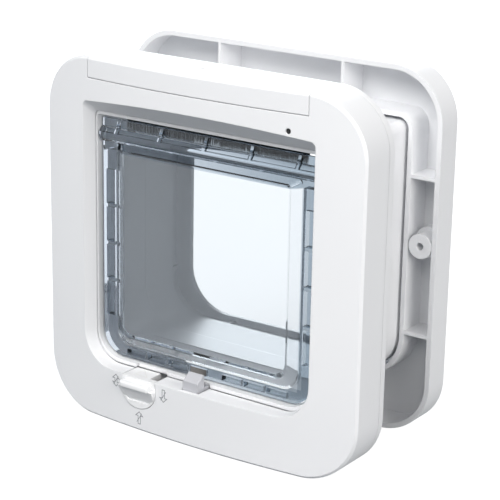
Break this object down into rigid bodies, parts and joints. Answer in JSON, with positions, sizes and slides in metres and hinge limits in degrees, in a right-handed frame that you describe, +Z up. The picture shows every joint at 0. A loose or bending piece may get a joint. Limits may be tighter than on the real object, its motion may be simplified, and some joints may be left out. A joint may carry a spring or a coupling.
{
  "type": "cat flap",
  "caption": "Square white pet door with a clear ribbed swing flap in a drafted recess, a latch, a turn lock, a battery cover, and an outer frame over a short tunnel.",
  "frame": {"origin": "middle of the base of the whole fitting", "axes": "+X to the right seen from the room, +Y from the room to the outside, +Z up"},
  "size_m": [0.21, 0.1114, 0.2127],
  "materials": {
    "white_plastic": "satin white ABS moulding",
    "grey_plastic": "plain grey moulding",
    "latch_plastic": "pale grey acetal",
    "clear_flap": "smoke-blue clear polycarbonate",
    "clear_red": "tinted clear light pipe",
    "brush": "short nylon pile",
    "cell_sleeve": "printed cell sleeve, left plain",
    "plated_steel": "nickel-plated steel",
    "spring_steel": "spring steel",
    "solenoid_steel": "zinc-plated bracket and wound coil",
    "magnet": "nickel-plated magnet",
    "copper_winding": "enamelled copper winding",
    "board": "green solder mask"
  },
  "bodies": {
    "inner_unit": {"front_bezel": "white_plastic", "rear_housing": "white_plastic", "battery_tray": "grey_plastic", "aa_cell_left_low": "cell_sleeve", "aa_cell_left_high": "cell_sleeve", "aa_cell_right_low": "cell_sleeve", "aa_cell_right_high": "cell_sleeve", "battery_contacts": "plated_steel", "circuit_board": "board", "board_screws": "plated_steel", "housing_screws": "plated_steel", "status_light": "clear_red", "reader_coil": "copper_winding", "sill_magnet": "magnet", "brush_strip": "brush", "latch_solenoid": "solenoid_steel", "latch_spring": "spring_steel", "lock_detent": "spring_steel"},
    "battery_cover": {"battery_cover": "white_plastic"},
    "flap": {"flap": "clear_flap", "flap_magnet": "magnet"},
    "latch": {"latch": "latch_plastic"},
    "lock_knob": {"lock_knob": "white_plastic"},
    "learn_button": {"learn_button": "grey_plastic"},
    "exterior_frame": {"exterior_frame": "white_plastic"}
  },
  "joints": [
    {"name": "flap_swing", "type": "hinge", "parent": "inner_unit", "child": "flap", "pos_m": [0, -0.03359, 0.1652], "axis": [1, 0, 0], "range_deg": [0, 78]},
    {"name": "latch_drop", "type": "slide", "parent": "inner_unit", "child": "latch", "axis": [0, 0, -1], "range_m": [0, 0.0062], "stiffness_N_per_m": 60, "springref_m": -0.002, "deforming": ["latch_spring"]},
    {"name": "lock_turn", "type": "hinge", "parent": "inner_unit", "child": "lock_knob", "pos_m": [-0.0348, -0.03359, 0.0263], "axis": [0, 1, 0], "range_deg": [-90, 180]},
    {"name": "cover_lift", "type": "slide", "parent": "inner_unit", "child": "battery_cover", "axis": [0, 0, 1], "range_m": [0, 0.025]},
    {"name": "learn_press", "type": "slide", "parent": "inner_unit", "child": "learn_button", "axis": [0, 1, 0], "range_m": [0, 0.0008], "stiffness_N_per_m": 300},
    {"name": "exterior_slide", "type": "slide", "parent": "inner_unit", "child": "exterior_frame", "axis": [0, 1, 0], "range_m": [-0.006, 0.008]}
  ]
}
